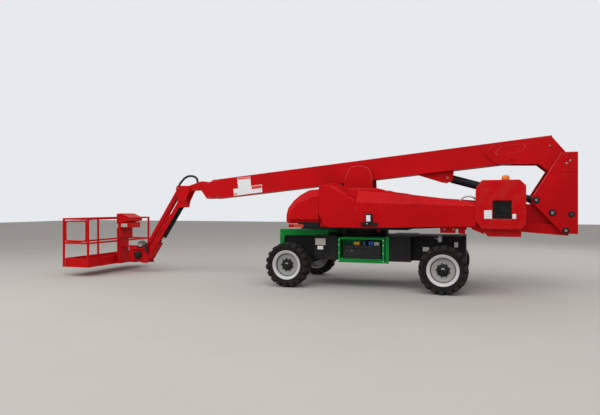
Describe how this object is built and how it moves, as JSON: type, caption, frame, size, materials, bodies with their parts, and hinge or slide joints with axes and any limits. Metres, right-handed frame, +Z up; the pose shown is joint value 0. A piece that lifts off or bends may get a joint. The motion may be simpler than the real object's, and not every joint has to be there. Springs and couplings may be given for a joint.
{
  "type": "articulated boom lift with telescopic main boom",
  "caption": "Wheeled boom lift: slewing turntable, parallelogram riser, telescopic main boom and jib carry a railed platform.",
  "frame": {"origin": "middle of the whole machine's length and width, on the ground", "axes": "+X forward towards the platform, +Y to the machine's left, +Z up"},
  "size_m": [11.199, 2.49, 3.0313],
  "materials": {
    "red_paint": "semi-gloss",
    "black_paint": "satin",
    "green_paint": "semi-gloss",
    "rim_paint": "satin",
    "tyre": "matte",
    "weight_iron": "painted",
    "grille_paint": "matte",
    "beacon_lens": "translucent",
    "battery_case": "matte",
    "box_plastic": "matte",
    "rod_chrome": "polished"
  },
  "bodies": {
    "chassis": {"chassis_frame": "black_paint", "front_axle": "black_paint", "rear_axle": "black_paint", "battery_frames": "green_paint", "battery_boxes": "battery_case", "front_guards": "green_paint", "slew_bearing": "black_paint"},
    "knuckle_left": {"knuckle_left": "black_paint"},
    "knuckle_right": {"knuckle_right": "black_paint"},
    "wheel_front_left": {"tyre_front_left": "tyre", "rim_front_left": "rim_paint", "hub_front_left": "black_paint"},
    "wheel_front_right": {"tyre_front_right": "tyre", "rim_front_right": "rim_paint", "hub_front_right": "black_paint"},
    "wheel_rear_left": {"tyre_rear_left": "tyre", "rim_rear_left": "rim_paint", "hub_rear_left": "black_paint"},
    "wheel_rear_right": {"tyre_rear_right": "tyre", "rim_rear_right": "rim_paint", "hub_rear_right": "black_paint"},
    "turntable": {"turntable_frame": "red_paint", "side_covers": "red_paint", "front_panels": "red_paint", "counterweights": "weight_iron", "louvres": "grille_paint", "beacon": "beacon_lens", "control_box": "box_plastic", "power_unit": "black_paint", "hydraulic_tank": "black_paint"},
    "hood_left": {"hood_left": "red_paint"},
    "hood_right": {"hood_right": "red_paint"},
    "riser": {"riser": "red_paint", "boom_rest": "red_paint"},
    "riser_link": {"riser_link": "red_paint"},
    "upright": {"upright": "red_paint"},
    "boom_base": {"boom_base": "red_paint"},
    "boom_mid": {"boom_mid": "red_paint"},
    "boom_fly": {"boom_fly": "red_paint"},
    "level_bracket": {"level_bracket": "red_paint"},
    "jib_upper": {"jib_upper": "red_paint"},
    "jib_lower": {"jib_lower": "red_paint"},
    "platform_support": {"platform_support": "red_paint"},
    "platform": {"platform_floor": "red_paint", "platform_rails": "red_paint", "platform_mast": "red_paint", "console": "red_paint"},
    "platform_gate": {"platform_gate": "red_paint"},
    "lift_cylinder_barrel": {"lift_cylinder_barrel": "black_paint"},
    "lift_cylinder_rod": {"lift_cylinder_rod": "rod_chrome"},
    "riser_cylinder_barrel": {"riser_cylinder_barrel": "black_paint"},
    "riser_cylinder_rod": {"riser_cylinder_rod": "rod_chrome"},
    "jib_cylinder_barrel": {"jib_cylinder_barrel": "black_paint"},
    "jib_cylinder_rod": {"jib_cylinder_rod": "rod_chrome"}
  },
  "joints": [
    {"name": "front_left_spin", "type": "hinge", "parent": "chassis", "child": "wheel_front_left", "pos_m": [-0.1005, 1.065, 0.46], "axis": [0, 1, 0], "continuous": true},
    {"name": "front_right_spin", "type": "hinge", "parent": "chassis", "child": "wheel_front_right", "pos_m": [-0.1005, -1.065, 0.46], "axis": [0, 1, 0], "continuous": true},
    {"name": "steer_left", "type": "hinge", "parent": "chassis", "child": "knuckle_left", "pos_m": [-3.2005, 0.85, 0.46], "axis": [0, 0, 1], "range_deg": [-35, 35]},
    {"name": "steer_right", "type": "hinge", "parent": "chassis", "child": "knuckle_right", "pos_m": [-3.2005, -0.85, 0.46], "axis": [0, 0, 1], "range_deg": [-35, 35]},
    {"name": "rear_left_spin", "type": "hinge", "parent": "knuckle_left", "child": "wheel_rear_left", "pos_m": [-3.2005, 1.065, 0.46], "axis": [0, 1, 0], "continuous": true},
    {"name": "rear_right_spin", "type": "hinge", "parent": "knuckle_right", "child": "wheel_rear_right", "pos_m": [-3.2005, -1.065, 0.46], "axis": [0, 1, 0], "continuous": true},
    {"name": "slew", "type": "hinge", "parent": "chassis", "child": "turntable", "pos_m": [-1.5005, 0, 1.2], "axis": [0, 0, 1], "continuous": true},
    {"name": "hood_left_lid", "type": "hinge", "parent": "turntable", "child": "hood_left", "pos_m": [-0.5905, 0.44, 1.996], "axis": [1, 0, 0], "range_deg": [0, 60]},
    {"name": "hood_right_lid", "type": "hinge", "parent": "turntable", "child": "hood_right", "pos_m": [-0.5905, -0.44, 1.996], "axis": [-1, 0, 0], "range_deg": [0, 60]},
    {"name": "riser_lift", "type": "hinge", "parent": "turntable", "child": "riser", "pos_m": [-1.2005, 0, 1.835], "axis": [0, 1, 0], "range_deg": [0, 65]},
    {"name": "riser_link_lift", "type": "hinge", "parent": "turntable", "child": "riser_link", "pos_m": [-1.4305, 0, 1.5], "axis": [0, 1, 0], "range_deg": [0, 65]},
    {"name": "upright_level", "type": "hinge", "parent": "riser", "child": "upright", "pos_m": [-5.1605, 0, 1.535], "axis": [0, -1, 0], "range_deg": [0, 65]},
    {"name": "riser_cylinder_swing", "type": "hinge", "parent": "turntable", "child": "riser_cylinder_barrel", "pos_m": [-1.3005, 0, 1.345], "axis": [0, 1, 0], "range_deg": [0, 57.74]},
    {"name": "riser_cylinder_stroke", "type": "slide", "parent": "riser_cylinder_barrel", "child": "riser_cylinder_rod", "axis": [-0.9957, 0, 0.0921], "range_m": [0, 0.49757]},
    {"name": "main_lift", "type": "hinge", "parent": "upright", "child": "boom_base", "pos_m": [-5.4135, 0, 2.571], "axis": [0, -1, 0], "range_deg": [0, 70]},
    {"name": "lift_cylinder_swing", "type": "hinge", "parent": "upright", "child": "lift_cylinder_barrel", "pos_m": [-4.8825, 0, 1.78], "axis": [0, -1, 0], "range_deg": [0, 63.36]},
    {"name": "lift_cylinder_stroke", "type": "slide", "parent": "lift_cylinder_barrel", "child": "lift_cylinder_rod", "axis": [0.9614, 0, 0.2753], "range_m": [0, 1.06369]},
    {"name": "mid_extend", "type": "slide", "parent": "boom_base", "child": "boom_mid", "axis": [0.9949, 0, -0.1011], "range_m": [0, 4.8]},
    {"name": "fly_extend", "type": "slide", "parent": "boom_mid", "child": "boom_fly", "axis": [0.9949, 0, -0.1011], "range_m": [0, 4.8]},
    {"name": "platform_level", "type": "hinge", "parent": "boom_fly", "child": "level_bracket", "pos_m": [2.8395, 0, 2.1], "axis": [0, 1, 0], "range_deg": [0, 70]},
    {"name": "jib_lift", "type": "hinge", "parent": "level_bracket", "child": "jib_upper", "pos_m": [3.0995, 0, 2.11], "axis": [0, -1, 0], "range_deg": [0, 125]},
    {"name": "jib_lower_lift", "type": "hinge", "parent": "level_bracket", "child": "jib_lower", "pos_m": [3.0595, 0, 1.8], "axis": [0, -1, 0], "range_deg": [0, 125]},
    {"name": "jib_end_level", "type": "hinge", "parent": "jib_upper", "child": "platform_support", "pos_m": [4.0595, 0, 0.63], "axis": [0, 1, 0], "range_deg": [0, 125]},
    {"name": "jib_cylinder_swing", "type": "hinge", "parent": "level_bracket", "child": "jib_cylinder_barrel", "pos_m": [3.0495, 0, 1.69], "axis": [0, -1, 0], "range_deg": [0, 123.28]},
    {"name": "jib_cylinder_stroke", "type": "slide", "parent": "jib_cylinder_barrel", "child": "jib_cylinder_rod", "axis": [0.5507, 0, -0.8347], "range_m": [0, 0.19334]},
    {"name": "platform_rotate", "type": "hinge", "parent": "platform_support", "child": "platform", "pos_m": [4.4495, 0, 0.465], "axis": [0, 0, 1], "range_deg": [-90, 90]},
    {"name": "gate", "type": "hinge", "parent": "platform", "child": "platform_gate", "pos_m": [4.9235, 1.199, 1.08], "axis": [0, 0, -1], "range_deg": [0, 90]}
  ],
  "couplings": [
    {"joint": "steer_right", "follows": "steer_left", "ratio": 1},
    {"joint": "riser_link_lift", "follows": "riser_lift", "ratio": 1},
    {"joint": "upright_level", "follows": "riser_lift", "ratio": 1},
    {"joint": "riser_cylinder_swing", "follows": "riser_lift", "ratio": 0.88823},
    {"joint": "riser_cylinder_stroke", "follows": "riser_lift", "m_per_rad": 0.43815},
    {"joint": "lift_cylinder_swing", "follows": "main_lift", "ratio": 0.9052},
    {"joint": "lift_cylinder_stroke", "follows": "main_lift", "m_per_rad": 0.87024},
    {"joint": "fly_extend", "follows": "mid_extend", "ratio": 1},
    {"joint": "platform_level", "follows": "main_lift", "ratio": 1},
    {"joint": "jib_lower_lift", "follows": "jib_lift", "ratio": 1},
    {"joint": "jib_end_level", "follows": "jib_lift", "ratio": 1},
    {"joint": "jib_cylinder_swing", "follows": "jib_lift", "ratio": 0.98622},
    {"joint": "jib_cylinder_stroke", "follows": "jib_lift", "m_per_rad": 0.088393}
  ]
}
